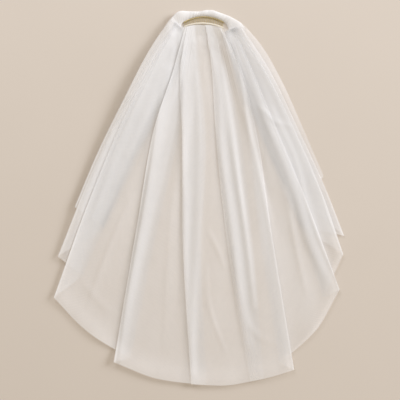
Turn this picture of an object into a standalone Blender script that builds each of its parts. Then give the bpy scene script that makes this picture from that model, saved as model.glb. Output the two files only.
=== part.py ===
# Bridal veil laid flat: one tulle tier gathered on a wire comb, seen from above.
# Frame: +Z up from the surface, the comb toward +Y, the hem toward -Y.
import math

import bmesh
import bpy
import numpy as np
from mathutils import Matrix, Vector

MM = 0.001

# Driving sizes, in millimetres.
DROP = 762.0
WALL = 1.0
LAYER_RISE = 2.0
TURN_RADIUS = 1.0
CLEAR_RISE = 1.55
CLEAR_STEEP = 1.3
STEEP_REACH = 90.0
LIFT_PASSES = 3
ROWS = 26
ROW_CROWDING = 1.25
SMOOTH = 40
COMB_EDGE_STEPS = 8
HEM_EDGE_STEPS = 14
TINY = 1e-9
GATHER_X = 10.32
GATHER_Y = 367.31

# The comb.
COMB_WIDTH = 84.0
COMB_RISE = 12.0
COMB_SHIFT = -0.5
SPINE_RADIUS = 1.2
SPINE_TOP = 12.6
SPINE_STEPS = 29
END_SPARE = 2.0
TOOTH_COUNT = 22
TOOTH_RADIUS = 0.55
TOOTH_LENGTH = 38.0
TOOTH_SIDES = 8
TOOTH_ROLL = math.radians(11.0)
WIRE_RESOLUTION = 2
COMB_CLEAR = 3.0
TIP_CLEAR = 13.6
COMB_RING_STEPS = 12

# The binding tape over the roots of the teeth.
TAPE_WIDTH = 3.6
TAPE_WALL = 1.0
TAPE_DROP = 13.4
TAPE_RISE = 8.5
TAPE_LEAN = 1.2
TAPE_GAP = 0.35
TAPE_STEPS = 25
TAPE_SPARE = 0.6
TAPE_EDGES = (0.5, 0.0, -0.5)

# How the net eases down past the edge of a layer that it lies on.
SHELF_NEAR = 1.4
SHELF_GROWTH = 0.012
EASE_NEAR = 9.0
EASE_GROWTH = 0.05

# One row per fold line from left to right, each place (across, down) in shares of the drop.
# kind: "cut" is an end of the net, "turn" a fold, "open" a line inside a flat stretch.
# Columns: name, kind, comb, shoulder, waist, knee, hem.
FOLD_LINES = (
    ("left_side", "cut", (-0.054, 0.024), (-0.058, 0.102), (-0.102, 0.204), (-0.149, 0.296), (-0.204, 0.387)),
    ("left_outer", "turn", (-0.090, -0.014), (-0.141, 0.061), (-0.221, 0.213), (-0.293, 0.359), (-0.356, 0.508)),
    ("left_hidden", "turn", (-0.055, 0.022), (-0.065, 0.110), (-0.130, 0.262), (-0.199, 0.412), (-0.273, 0.566)),
    ("left_second", "turn", (-0.084, -0.007), (-0.130, 0.066), (-0.196, 0.185), (-0.296, 0.384), (-0.403, 0.644)),
    ("left_band", "turn", (-0.057, 0.020), (-0.075, 0.116), (-0.146, 0.273), (-0.235, 0.472), (-0.334, 0.699)),
    ("left_first", "turn", (-0.079, 0.000), (-0.124, 0.080), (-0.199, 0.218), (-0.312, 0.478), (-0.414, 0.757)),
    ("left_panel", "open", (-0.051, 0.019), (-0.062, 0.116), (-0.127, 0.282), (-0.235, 0.577), (-0.318, 0.856)),
    ("a_lower", "turn", (-0.044, 0.015), (-0.052, 0.130), (-0.064, 0.273), (-0.119, 0.530), (-0.202, 0.925)),
    ("a_upper", "turn", (-0.053, 0.020), (-0.083, 0.124), (-0.135, 0.282), (-0.185, 0.558), (-0.249, 0.935)),
    ("b_panel", "open", (-0.039, 0.014), (-0.047, 0.130), (-0.064, 0.323), (-0.094, 0.586), (-0.127, 0.982)),
    ("b_lower", "turn", (-0.023, 0.010), (-0.008, 0.144), (0.006, 0.323), (-0.007, 0.613), (0.008, 0.999)),
    ("b_upper", "turn", (-0.047, 0.016), (-0.065, 0.116), (-0.061, 0.296), (-0.059, 0.599), (-0.036, 0.999)),
    ("c_panel", "open", (-0.008, 0.007), (0.003, 0.102), (0.017, 0.296), (0.036, 0.599), (0.066, 0.999)),
    ("c_lower", "turn", (0.023, 0.011), (0.061, 0.113), (0.098, 0.282), (0.133, 0.586), (0.166, 0.981)),
    ("c_upper", "turn", (0.003, 0.008), (0.019, 0.108), (0.030, 0.282), (0.062, 0.594), (0.127, 0.989)),
    ("d_panel", "open", (0.035, 0.013), (0.080, 0.119), (0.122, 0.282), (0.160, 0.599), (0.193, 0.974)),
    ("d_upper", "turn", (0.049, 0.017), (0.099, 0.119), (0.144, 0.296), (0.188, 0.586), (0.249, 0.956)),
    ("d_lower", "turn", (0.041, 0.015), (0.081, 0.130), (0.119, 0.296), (0.155, 0.594), (0.207, 0.939)),
    ("right_panel", "open", (0.052, 0.019), (0.108, 0.124), (0.163, 0.296), (0.232, 0.572), (0.301, 0.859)),
    ("right_first", "turn", (0.083, 0.015), (0.124, 0.108), (0.196, 0.282), (0.282, 0.489), (0.374, 0.735)),
    ("right_band", "turn", (0.060, 0.023), (0.099, 0.124), (0.163, 0.282), (0.257, 0.539), (0.329, 0.760)),
    ("right_second", "turn", (0.091, 0.011), (0.157, 0.110), (0.246, 0.287), (0.331, 0.483), (0.384, 0.638)),
    ("right_hidden", "turn", (0.058, 0.024), (0.091, 0.127), (0.149, 0.282), (0.213, 0.448), (0.265, 0.561)),
    ("right_third", "turn", (0.099, 0.007), (0.166, 0.105), (0.257, 0.287), (0.340, 0.467), (0.387, 0.588)),
    ("right_inner", "turn", (0.056, 0.025), (0.083, 0.124), (0.127, 0.246), (0.174, 0.351), (0.221, 0.445)),
    ("right_side", "cut", (0.108, 0.003), (0.160, 0.064), (0.213, 0.157), (0.273, 0.290), (0.334, 0.431)),
)
TOP_STRETCH = "d_panel"
OPEN_COLUMNS = 7
PLAIN_COLUMNS = 3
FINE = 121

# The head gathers above the comb, from shoulder to shoulder, in shares of the drop.
HEAD_OUTER = (
    (-0.086, -0.017),
    (-0.072, -0.029),
    (-0.052, -0.032),
    (-0.018, -0.035),
    (0.022, -0.034),
    (0.055, -0.025),
    (0.081, -0.014),
    (0.104, 0.000),
)
HEAD_SHOULDERS = ((-0.059, 0.014), (0.061, 0.018))
HEAD_SPARE = 1.9
HEAD_INNER_STEPS = 9
HEAD_WAVES = 20
HEAD_STEPS = 80
HEAD_HEIGHT = 6.5
HEAD_END_SHARE = 0.7
HEAD_WAVE = 0.5
# Columns: share of the way from the comb to the outer edge, share of the height, share of the wave.
HEAD_PROFILE = (
    (0.0, 0.0, 0.0),
    (0.62, 0.0, 0.0),
    (0.92, 0.15, 0.3),
    (1.0, 0.42, 0.6),
    (0.90, 0.74, 1.0),
    (0.66, 0.96, 1.0),
    (0.36, 0.98, 1.0),
    (0.10, 0.80, 0.8),
)

# The look of each piece: linear red, green and blue, then metallic and roughness.
LOOKS = {
    "tulle_tier": (0.86, 0.83, 0.77, 0.0, 0.9),
    "head_gathers": (0.90, 0.87, 0.81, 0.0, 0.9),
    "binding_tape": (0.84, 0.78, 0.66, 0.0, 0.8),
    "metal_comb": (0.48, 0.38, 0.24, 1.0, 0.4),
}


def clear_scene():
    for thing in list(bpy.data.objects):
        bpy.data.objects.remove(thing, do_unlink=True)


def collection(name):
    made = bpy.data.collections.new(name)
    bpy.context.scene.collection.children.link(made)
    return made


def material(name):
    red, green, blue, metallic, roughness = LOOKS[name]
    made = bpy.data.materials.new(name)
    made.use_nodes = True
    shader = made.node_tree.nodes["Principled BSDF"]
    shader.inputs["Base Color"].default_value = (red, green, blue, 1.0)
    shader.inputs["Metallic"].default_value = metallic
    shader.inputs["Roughness"].default_value = roughness
    return made


def through(places, count, crowding=1.0):
    """Points along a smooth line through the given places, closer together at its start."""
    places = np.array(places, float)
    steps = np.linalg.norm(np.diff(places, axis=0), axis=1)
    knots = np.concatenate([[0.0], np.cumsum(steps)])
    slopes = np.gradient(places, knots, axis=0)
    fine = np.linspace(0.0, knots[-1], SMOOTH * len(places))
    index = np.clip(np.searchsorted(knots, fine, side="right") - 1, 0, len(places) - 2)
    width = (knots[index + 1] - knots[index])[:, None]
    share = (fine - knots[index])[:, None] / width
    line = (
        (2 * share**3 - 3 * share**2 + 1) * places[index]
        + (share**3 - 2 * share**2 + share) * width * slopes[index]
        + (3 * share**2 - 2 * share**3) * places[index + 1]
        + (share**3 - share**2) * width * slopes[index + 1]
    )
    run = np.concatenate([[0.0], np.cumsum(np.linalg.norm(np.diff(line, axis=0), axis=1))])
    wanted = run[-1] * np.linspace(0.0, 1.0, count) ** crowding
    return np.column_stack([np.interp(wanted, run, line[:, axis]) for axis in range(2)])


def on_surface(places):
    """Shares of the drop turned into millimetres on the surface."""
    places = np.array(places, float) * DROP
    return np.column_stack([GATHER_X + places[:, 0], GATHER_Y - places[:, 1]])


def stretches():
    """The stretches of net between two turns, each a list of fold lines."""
    lines = [(row[0], row[1], through(on_surface(row[2:]), ROWS + 1, ROW_CROWDING)) for row in FOLD_LINES]
    found = []
    held = [lines[0]]
    for line in lines[1:]:
        held.append(line)
        if line[1] != "open":
            found.append(held)
            held = [line]
    return found


def across(stretch, row, count):
    """Places on one row of a stretch, from its first fold line to its last."""
    return through([line[2][row] for line in stretch], count)


def outline(stretch):
    """The edge of a stretch all the way round."""
    first, last = stretch[0][2], stretch[-1][2]
    comb_edge = across(stretch, 0, COMB_EDGE_STEPS)[1:-1]
    hem_edge = across(stretch, ROWS, HEM_EDGE_STEPS)[1:-1]
    return np.concatenate([first, hem_edge, last[::-1], comb_edge[::-1]])


def distance_outside(places, ring):
    """How far each place lies outside a closed outline, nought inside it."""
    run = np.roll(ring, -1, axis=0) - ring
    end_y = np.roll(ring[:, 1], -1)
    length = np.maximum((run**2).sum(1), TINY)
    gap = places[:, None, :] - ring[None]
    share = np.clip((gap * run[None]).sum(2) / length[None], 0.0, 1.0)
    nearest = np.linalg.norm(gap - share[..., None] * run[None], axis=2).min(1)
    above_start = ring[:, 1][None] > places[:, 1][:, None]
    above_end = end_y[None] > places[:, 1][:, None]
    slope = np.where(np.abs(run[:, 1]) < TINY, TINY, run[:, 1])
    crossing = ring[:, 0][None] + gap[..., 1] * (run[:, 0] / slope)[None]
    inside = ((above_start != above_end) & (places[:, 0][:, None] < crossing)).sum(1) % 2 == 1
    return np.where(inside, 0.0, nearest)


def reach_of(places):
    """How far each place lies from the middle of the gathering."""
    return np.hypot(places[:, 0] - GATHER_X, places[:, 1] - GATHER_Y)


def resting(places, ring):
    """One over a layer, easing to nought a short way past its edge."""
    reach = reach_of(places)
    shelf = SHELF_NEAR + SHELF_GROWTH * reach
    ease = EASE_NEAR + EASE_GROWTH * reach
    share = np.clip((shelf + ease - distance_outside(places, ring)) / ease, 0.0, 1.0)
    return share * share * (3.0 - 2.0 * share)


def comb_line(drop, rise, lean, count, spare=0.0):
    """An arc across the comb, its ends below its middle by the rise."""
    half = COMB_WIDTH / 2.0 - spare
    radius = (half**2 + rise**2) / (2.0 * rise)
    side = np.linspace(-half, half, count)
    fall = radius - np.sqrt(radius**2 - side**2)
    down = SPINE_TOP - drop - fall - lean * side / half
    return np.column_stack([GATHER_X + COMB_SHIFT + side, GATHER_Y + down])


def comb_outline():
    """The ground that the net clears where it lies over the comb."""
    spine = comb_line(-2.0 * SPINE_RADIUS, COMB_RISE, 0.0, COMB_RING_STEPS, -COMB_CLEAR)
    tips = comb_line(TOOTH_LENGTH + TIP_CLEAR, COMB_RISE, 0.0, COMB_RING_STEPS, -COMB_CLEAR)
    return np.concatenate([spine, tips[::-1]])


def layers_under(found):
    """For each stretch, the stretches that lie under it."""
    names = [[line[0] for line in stretch] for stretch in found]
    top = [k for k, held in enumerate(names) if TOP_STRETCH in held][0]
    left = [list(range(0, k)) for k in range(0, top)]
    right = [list(range(k + 1, len(found))) for k in range(top + 1, len(found))]
    everything_else = list(range(0, top)) + list(range(top + 1, len(found)))
    return left + [everything_else] + right


def height(places, under, rings, comb_ring):
    level = np.full(len(places), WALL / 2.0)
    for k in under:
        level += LAYER_RISE * resting(places, rings[k])
    lift = SPINE_RADIUS + TOOTH_RADIUS + TAPE_GAP
    return level + lift * resting(places, comb_ring)


def row_places(stretch, row, under, rings, comb_ring):
    """One row of a stretch, its columns drawn together where the net climbs or falls."""
    fine = across(stretch, row, FINE)
    rise = height(fine, under, rings, comb_ring)
    run = np.concatenate([[0.0], np.cumsum(np.linalg.norm(np.diff(fine, axis=0), axis=1))])
    climb = np.concatenate([[0.0], np.cumsum(np.abs(np.diff(rise)))])
    start = TURN_RADIUS if stretch[0][1] == "turn" else 0.0
    stop = run[-1] - (TURN_RADIUS if stretch[-1][1] == "turn" else 0.0)
    weight = run / run[-1] + climb / LAYER_RISE
    ends = np.interp([start, stop], run, weight)
    count = OPEN_COLUMNS if len(stretch) > 2 else PLAIN_COLUMNS
    wanted = np.interp(np.linspace(ends[0], ends[1], count), weight, run)
    plan = np.column_stack([np.interp(wanted, run, fine[:, axis]) for axis in range(2)])
    return np.column_stack([plan, height(plan, under, rings, comb_ring)])


def corner_order(grid):
    """The corners of the two halves of every square of a grid, as places in its flattened list."""
    index = np.arange(grid.shape[0] * grid.shape[1]).reshape(grid.shape[:2])
    a, b, c, d = index[:-1, :-1], index[1:, :-1], index[1:, 1:], index[:-1, 1:]
    halves = [np.stack(half, axis=-1).reshape(-1, 3) for half in ((a, b, c), (a, c, d))]
    return np.concatenate(halves)


def shares_on(places, corners):
    """Where each place falls in each triangle seen from above: a mask and the corner shares."""
    first = corners[:, 0, :2]
    side = corners[:, 1, :2] - first
    other = corners[:, 2, :2] - first
    gap = places[:, None, :2] - first[None]
    area = side[:, 0] * other[:, 1] - side[:, 1] * other[:, 0]
    area = np.where(np.abs(area) < TINY, np.inf, area)
    along = (gap[..., 0] * other[None, :, 1] - gap[..., 1] * other[None, :, 0]) / area[None]
    aside = (side[None, :, 0] * gap[..., 1] - side[None, :, 1] * gap[..., 0]) / area[None]
    mask = (along >= 0.0) & (aside >= 0.0) & (along + aside <= 1.0) & np.isfinite(area)[None]
    return mask, np.stack([1.0 - along - aside, along, aside], axis=-1)


def between(grid):
    """The places of a grid with the middles of its edges and squares."""
    down = (grid[1:] + grid[:-1]) / 2.0
    side = (grid[:, 1:] + grid[:, :-1]) / 2.0
    middle = (down[:, 1:] + down[:, :-1]) / 2.0
    return np.concatenate([part.reshape(-1, 3) for part in (grid, down, side, middle)])


def clear_rise(places):
    """The rise from one layer to the next, more where the net is steep beside the comb."""
    return CLEAR_RISE + CLEAR_STEEP * np.clip(1.0 - reach_of(places) / STEEP_REACH, 0.0, 1.0)


def lift_over(upper, lower):
    """Raise one stretch wherever it comes too near to a stretch beneath it."""
    order = corner_order(upper)
    ground = lower.reshape(-1, 3)[corner_order(lower)]
    for _ in range(LIFT_PASSES):
        flat = upper.reshape(-1, 3)
        mask, share = shares_on(flat, ground)
        level = np.where(mask, (share * ground[None, :, :, 2]).sum(2), -np.inf).max(1)
        flat[:, 2] = np.maximum(flat[:, 2], level + clear_rise(flat))
        seen = between(lower)
        mask, share = shares_on(seen, flat[order])
        level = (share * flat[order][None, :, :, 2]).sum(2)
        short = np.where(mask, (seen[:, 2] + clear_rise(seen))[:, None] - level, 0.0).max(0)
        rise = np.zeros(len(flat))
        np.maximum.at(rise, order.ravel(), np.repeat(np.maximum(short, 0.0), 3))
        flat[:, 2] += rise
        upper = flat.reshape(upper.shape)
    return upper


def settle(parts, order):
    """Lift every stretch clear of those under it, the lowest first."""
    for k in sorted(range(len(parts)), key=lambda k: len(order[k])):
        for under in sorted(order[k], key=lambda j: len(order[j])):
            parts[k] = lift_over(parts[k], parts[under])
    return parts


def tier_grid():
    """Rows of places on the middle of the net, from the left end to the right end."""
    found = stretches()
    rings = [outline(stretch) for stretch in found]
    order = layers_under(found)
    comb_ring = comb_outline()
    parts = []
    for k, stretch in enumerate(found):
        rows = [row_places(stretch, row, order[k], rings, comb_ring) for row in range(ROWS + 1)]
        parts.append(np.array(rows))
    parts = settle(parts, order)
    grid = [parts[0]]
    for k in range(1, len(parts)):
        middle = (parts[k - 1][:, -1, 2] + parts[k][:, 0, 2]) / 2.0
        grid.append(np.column_stack([found[k][0][2], middle])[:, None, :])
        grid.append(parts[k])
    return np.concatenate(grid, axis=1)


def sheet_object(name, grid, thickness):
    """A sheet through rows of places, given a wall on both its faces."""
    mesh = bpy.data.meshes.new(name)
    made = bmesh.new()
    verts = [[made.verts.new(Vector(place) * MM) for place in row] for row in grid.tolist()]
    for upper, lower in zip(verts, verts[1:]):
        for k in range(len(upper) - 1):
            made.faces.new((upper[k], lower[k], lower[k + 1], upper[k + 1]))
    made.to_mesh(mesh)
    made.free()
    sheet = bpy.data.objects.new(name, mesh)
    wall = sheet.modifiers.new("wall", "SOLIDIFY")
    wall.thickness = thickness * MM
    wall.offset = 0.0
    wall.use_even_offset = True
    return sheet


def flat_underside(sheet, home):
    """The sheet with its wall made real, and nothing left below the surface it rests on."""
    made = as_mesh(sheet, home)
    for vertex in made.data.vertices:
        vertex.co.z = max(vertex.co.z, 0.0)
    return made


def head_grid():
    """The band of net turned over above the comb: an under face, a fold and an upper face."""
    shoulders = on_surface(HEAD_SHOULDERS)
    beside_comb = comb_line(-HEAD_SPARE, COMB_RISE, 0.0, HEAD_INNER_STEPS)
    outer = through(on_surface(HEAD_OUTER), HEAD_STEPS + 1)
    inner = through([shoulders[0], *beside_comb, shoulders[1]], HEAD_STEPS + 1)
    base = WALL / 2.0
    rows = []
    for step in range(HEAD_STEPS + 1):
        wave = math.sin(2.0 * math.pi * HEAD_WAVES * step / HEAD_STEPS)
        fade = math.sin(math.pi * step / HEAD_STEPS)
        crest = HEAD_HEIGHT * (HEAD_END_SHARE + (1.0 - HEAD_END_SHARE) * fade) - WALL
        row = []
        for share, rise, sway in HEAD_PROFILE:
            plan = inner[step] + (outer[step] - inner[step]) * share
            row.append([plan[0], plan[1], base + rise * crest + HEAD_WAVE * wave * sway])
        rows.append(row)
    return np.array(rows)


def tape_grid():
    """The tape across the roots of the teeth."""
    rise = 2.0 * SPINE_RADIUS + TAPE_GAP
    middle = comb_line(TAPE_DROP, TAPE_RISE, TAPE_LEAN, TAPE_STEPS, TAPE_SPARE)
    rows = []
    for side in TAPE_EDGES:
        rows.append([[x, y + side * TAPE_WIDTH, rise] for x, y in middle])
    return np.array(rows)


def rod(name, places, radius):
    curve = bpy.data.curves.new(name, "CURVE")
    curve.dimensions = "3D"
    curve.bevel_depth = radius * MM
    curve.bevel_resolution = WIRE_RESOLUTION
    curve.use_fill_caps = True
    line = curve.splines.new("POLY")
    line.points.add(len(places) - 1)
    for point, place in zip(line.points, places):
        point.co = (place[0] * MM, place[1] * MM, place[2] * MM, 1.0)
    return bpy.data.objects.new(name, curve)


def as_mesh(source, home):
    """An object with its curve or modifiers turned into a plain mesh of the same name."""
    home.objects.link(source)
    bpy.context.view_layer.update()
    seen = source.evaluated_get(bpy.context.evaluated_depsgraph_get())
    mesh = bpy.data.meshes.new_from_object(seen)
    name = source.name
    bpy.data.objects.remove(source, do_unlink=True)
    made = bpy.data.objects.new(name, mesh)
    home.objects.link(made)
    return made


def teeth_object(tools, roots):
    """All the teeth as one mesh of separate rods."""
    made = bmesh.new()
    for x, y in roots:
        turn = Matrix.Translation(Vector((x, y - TOOTH_LENGTH / 2.0, SPINE_RADIUS)) * MM)
        turn = turn @ Matrix.Rotation(math.radians(90.0), 4, "X") @ Matrix.Rotation(TOOTH_ROLL, 4, "Z")
        bmesh.ops.create_cone(
            made,
            cap_ends=True,
            segments=TOOTH_SIDES,
            radius1=TOOTH_RADIUS * MM,
            radius2=TOOTH_RADIUS * MM,
            depth=TOOTH_LENGTH * MM,
            matrix=turn,
        )
    mesh = bpy.data.meshes.new("comb_teeth")
    made.to_mesh(mesh)
    made.free()
    teeth = bpy.data.objects.new("comb_teeth", mesh)
    teeth.hide_render = True
    teeth.display_type = "WIRE"
    tools.objects.link(teeth)
    return teeth


def comb_object(home, tools):
    """The spine with its teeth joined on."""
    spine_line = comb_line(0.0, COMB_RISE, 0.0, SPINE_STEPS)
    spine = as_mesh(rod("metal_comb", [(x, y, SPINE_RADIUS) for x, y in spine_line], SPINE_RADIUS), home)
    roots = comb_line(0.0, COMB_RISE, 0.0, TOOTH_COUNT, END_SPARE)
    teeth = teeth_object(tools, roots)
    joined = spine.modifiers.new("teeth", "BOOLEAN")
    joined.operation = "UNION"
    joined.solver = "EXACT"
    joined.object = teeth
    return spine


def build():
    clear_scene()
    home = collection("bridal_veil")
    tools = collection("cutters")
    tier = flat_underside(sheet_object("tulle_tier", tier_grid(), WALL), home)
    head = flat_underside(sheet_object("head_gathers", head_grid(), WALL), home)
    tape = as_mesh(sheet_object("binding_tape", tape_grid(), TAPE_WALL), home)
    comb = comb_object(home, tools)
    for piece in (tier, head, tape, comb):
        piece.data.materials.append(material(piece.name))


build()
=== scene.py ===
# The bridal veil dressed: soft tulle, ruched head gathers, cream tape, stitches and a wire comb.
# Lengths are millimetres until a mesh is written, and the frame is the CAD's: comb toward +Y.
import math

import bmesh
import bpy
import numpy as np
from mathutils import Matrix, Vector


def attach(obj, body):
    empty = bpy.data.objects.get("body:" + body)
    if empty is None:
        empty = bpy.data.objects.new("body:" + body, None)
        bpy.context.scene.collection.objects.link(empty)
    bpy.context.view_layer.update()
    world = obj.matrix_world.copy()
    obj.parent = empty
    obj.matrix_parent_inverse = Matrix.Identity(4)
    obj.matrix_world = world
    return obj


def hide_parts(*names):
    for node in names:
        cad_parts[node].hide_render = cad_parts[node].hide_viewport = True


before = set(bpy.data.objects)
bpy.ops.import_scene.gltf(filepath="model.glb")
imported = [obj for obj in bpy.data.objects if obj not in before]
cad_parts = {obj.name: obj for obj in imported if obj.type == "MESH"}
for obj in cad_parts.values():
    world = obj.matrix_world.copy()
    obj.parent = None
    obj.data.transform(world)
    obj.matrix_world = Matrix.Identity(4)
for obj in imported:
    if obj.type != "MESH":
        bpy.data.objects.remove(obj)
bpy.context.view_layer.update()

MM = 0.001

# The net's driving sizes. Its layers lie closer together than the solid's, whose walls are thick.
DROP = 762.0
PLACE_UNITS = 1000.0
BASE = 0.5
LAYER_RISE = 0.95
TURN_RADIUS = 1.2
CLEAR_RISE = 0.7
CLEAR_STEEP = 0.7
STEEP_REACH = 90.0
LIFT_PASSES = 3
ROWS = 32
ROW_CROWDING = 1.25
SMOOTH = 40
OPEN_COLUMNS = 12
PLAIN_COLUMNS = 5
FINE = 121
COMB_EDGE_STEPS = 8
HEM_EDGE_STEPS = 14
TINY = 1e-9
GATHER_X = 10.32
GATHER_Y = 367.31
FAN_POINT_Y = 491.0

# The comb and its tape.
COMB_WIDTH = 84.0
COMB_RISE = 12.0
COMB_SHIFT = -0.5
SPINE_RADIUS = 1.2
SPINE_TOP = 12.6
TOOTH_COUNT = 22
TOOTH_RADIUS = 0.55
TOOTH_LENGTH = 38.0
END_SPARE = 2.0
COMB_CLEAR = 3.0
TIP_CLEAR = 13.6
COMB_RING_STEPS = 12
TAPE_WIDTH = 3.6
TAPE_DROP = 13.4
TAPE_RISE = 8.5
TAPE_LEAN = 1.2
TAPE_GAP = 0.35
OVER_COMB = SPINE_RADIUS + TOOTH_RADIUS + TAPE_GAP

# How the net eases down past the edge of a layer that it lies on.
SHELF_NEAR = 1.4
SHELF_GROWTH = 0.012
EASE_NEAR = 9.0
EASE_GROWTH = 0.08

# One row per fold line from left to right, each place (across, down) in thousandths of the drop.
# kind: "cut" is an end of the net, "turn" a fold that shows, "tuck" a fold under others,
# "open" a line inside a flat stretch.
# Columns: name, kind, comb, shoulder, waist, knee, hem.
FOLD_LINES = (
    ("left_side", "cut", (-54, 24), (-58, 102), (-102, 204), (-149, 296), (-204, 387)),
    ("left_outer", "turn", (-90, -14), (-141, 61), (-221, 213), (-293, 359), (-356, 508)),
    ("left_hidden", "tuck", (-55, 22), (-65, 110), (-130, 262), (-199, 412), (-273, 566)),
    ("left_second", "turn", (-84, -7), (-130, 66), (-196, 185), (-296, 384), (-403, 644)),
    ("left_band", "tuck", (-57, 20), (-75, 116), (-146, 273), (-235, 472), (-334, 699)),
    ("left_first", "turn", (-79, 0), (-124, 80), (-199, 218), (-312, 478), (-414, 757)),
    ("left_panel", "open", (-51, 19), (-62, 116), (-127, 282), (-235, 577), (-318, 856)),
    ("a_lower", "tuck", (-44, 15), (-52, 130), (-64, 273), (-119, 530), (-202, 925)),
    ("a_upper", "turn", (-53, 20), (-83, 124), (-135, 282), (-185, 558), (-249, 935)),
    ("b_panel", "open", (-39, 14), (-47, 130), (-64, 323), (-94, 586), (-127, 982)),
    ("b_lower", "tuck", (-23, 10), (-8, 144), (6, 323), (-7, 613), (8, 999)),
    ("b_upper", "turn", (-47, 16), (-65, 116), (-61, 296), (-59, 599), (-36, 996)),
    ("c_panel", "open", (-8, 7), (3, 102), (17, 296), (36, 599), (66, 999)),
    ("c_lower", "tuck", (23, 11), (61, 113), (98, 282), (133, 586), (166, 981)),
    ("c_upper", "turn", (3, 8), (19, 108), (30, 282), (62, 594), (127, 989)),
    ("d_panel", "open", (35, 13), (80, 119), (122, 282), (160, 599), (193, 974)),
    ("d_upper", "turn", (49, 17), (99, 119), (144, 296), (188, 586), (249, 956)),
    ("d_lower", "tuck", (41, 15), (81, 130), (119, 296), (155, 594), (207, 939)),
    ("right_panel", "open", (52, 19), (108, 124), (163, 296), (232, 572), (301, 859)),
    ("right_first", "turn", (83, 15), (124, 108), (196, 282), (282, 489), (374, 735)),
    ("right_band", "tuck", (60, 23), (99, 124), (163, 282), (257, 539), (329, 760)),
    ("right_second", "turn", (91, 11), (157, 110), (246, 287), (331, 483), (384, 638)),
    ("right_hidden", "tuck", (58, 24), (91, 127), (149, 282), (213, 448), (265, 561)),
    ("right_third", "turn", (99, 7), (166, 105), (257, 287), (340, 467), (387, 588)),
    ("right_inner", "tuck", (56, 25), (83, 124), (127, 246), (174, 351), (221, 445)),
    ("right_side", "cut", (108, 3), (160, 64), (213, 157), (273, 290), (334, 431)),
)
TOP_STRETCH = "d_panel"

# Soft creases of the laid net, which every layer there shares, and wide lifts of its free edges.
# Columns: half width to the left, half width to the right, height, added cover, places along it
# in thousandths of the drop. The added cover is partly crowded net and partly a painted highlight that
# whitens the ridge.
CREASES = (
    (6.0, 16.0, 3.6, 0.05, ((-105, 130), (-127, 282), (-160, 489), (-185, 627), (-210, 765), (-232, 925))),
    (9.0, 8.0, 2.4, 0.07, ((-19, 144), (-8, 351), (-14, 489), (-22, 655), (-30, 820), (-33, 964))),
    (6.0, 9.0, 2.4, 0.00, ((-58, 102), (-58, 296), (-55, 489), (-52, 765), (-36, 964))),
    (7.0, 11.0, 2.6, 0.00, ((14, 61), (36, 157), (47, 351), (66, 489), (83, 627), (97, 765), (116, 890))),
    (8.0, 7.0, 2.9, 0.12, ((50, 127), (88, 398), (119, 610), (138, 782))),
    (7.0, 6.0, 1.6, 0.08, ((110, 240), (149, 398), (182, 558), (218, 765), (246, 923))),
    (8.0, 13.0, 1.9, 0.04, ((160, 246), (207, 351), (257, 489), (293, 616), (345, 718))),
    (4.0, 5.0, 0.9, 0.09, ((188, 240), (249, 367), (282, 489), (329, 627), (365, 707))),
    (4.0, 4.0, 1.0, 0.04, ((144, 229), (169, 246), (188, 268), (238, 285))),
    (6.0, 5.0, 1.1, 0.02, ((11, 572), (39, 627), (55, 671))),
    (5.0, 5.0, 1.0, 0.02, ((6, 666), (11, 765), (30, 834), (58, 903))),
    (6.0, 6.0, 0.9, 0.02, ((119, 826), (149, 862), (199, 884))),
    (7.0, 9.0, 1.8, 0.03, ((-110, 120), (-160, 240), (-215, 360))),
    (5.0, 8.0, 1.8, 0.03, ((-160, 180), (-240, 360), (-310, 540))),
    (5.0, 7.0, 1.5, 0.03, ((-250, 300), (-320, 470), (-375, 640))),
    (6.0, 9.0, 1.2, 0.02, ((-200, 480), (-270, 640), (-320, 780))),
    (9.0, 12.0, 1.0, 0.00, ((-150, 420), (-190, 640), (-230, 860))),
    (8.0, 12.0, 1.0, 0.00, ((-70, 330), (-95, 600), (-110, 900))),
    (6.0, 8.0, 1.4, 0.00, ((-85, 60), (-96, 130), (-100, 200))),
    (6.0, 6.0, 1.2, 0.02, ((90, 90), (108, 200), (130, 330))),
    (7.0, 7.0, 1.0, 0.00, ((230, 480), (250, 600), (280, 740))),
    (6.0, 8.0, 1.0, 0.00, ((-330, 720), (-300, 760), (-260, 800))),
    # A broad band with no rise that only adds cover: a painted highlight over the right of the net.
    (40.0, 36.0, 0.0, 0.11, ((150, 330), (220, 560), (290, 840))),
    (27.0, 27.0, 7.0, 0.00, ((-141, 61), (-221, 213), (-300, 370), (-390, 620), (-414, 757))),
    (27.0, 27.0, 7.5, 0.00, (
        (-414, 757), (-318, 856), (-249, 935), (-127, 982), (8, 999), (127, 989), (249, 956),
    )),
    (22.0, 22.0, 5.0, 0.00, ((249, 956), (301, 859), (374, 735), (384, 600))),
)
CREASE_STEPS = 24
CREASE_NEAR = 0.35
CREASE_GROWTH = 350.0
# A crease rises and falls along its length: the share of the wave it takes, where it starts, how blunt.
CREASE_SPAN = 0.9
CREASE_START = 0.05
CREASE_BLUNT = 0.5

# The soft upper part stands clear of the surface beside the comb.
# Columns: height, reach of its middle, half length, which side (left is minus), half width as a turn.
STANDING = (
    (12.5, 130.0, 190.0, -0.56, 0.20),
    (4.0, 160.0, 170.0, 0.58, 0.15),
)

# Small gathers below the comb: their count, depth, how far they reach and where they are full.
GATHER_FOLDS = 41
GATHER_DEPTH = 1.2
GATHER_REACH = 110.0
GATHER_START = 22.0
GATHER_MIDDLE = 0.5
GATHER_SWING = 0.31
# Columns: how many times the gathers' count, strength, start.
GATHER_WAVES = ((9.0, 1.0, 0.0), (5.3, 0.6, 1.7))

# Puffs of the open panels: their height, and how far from the comb they are full.
PUFF_HEIGHT = 2.0
PUFF_REACH = 220.0
PUFF_MIDDLE = 0.5
PUFF_SLOW = 0.34
PUFF_CROSS = 0.16
# Each wave's count across the fan, its length down it in millimetres, and its start.
SLOW_WAVE = (23.0, 140.0)
SKEW_WAVE = (11.0, 95.0, 0.8)
CROSS_WAVE = (31.0, 47.0)
FAN_WAVE = (57.0, 1.1)

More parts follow.
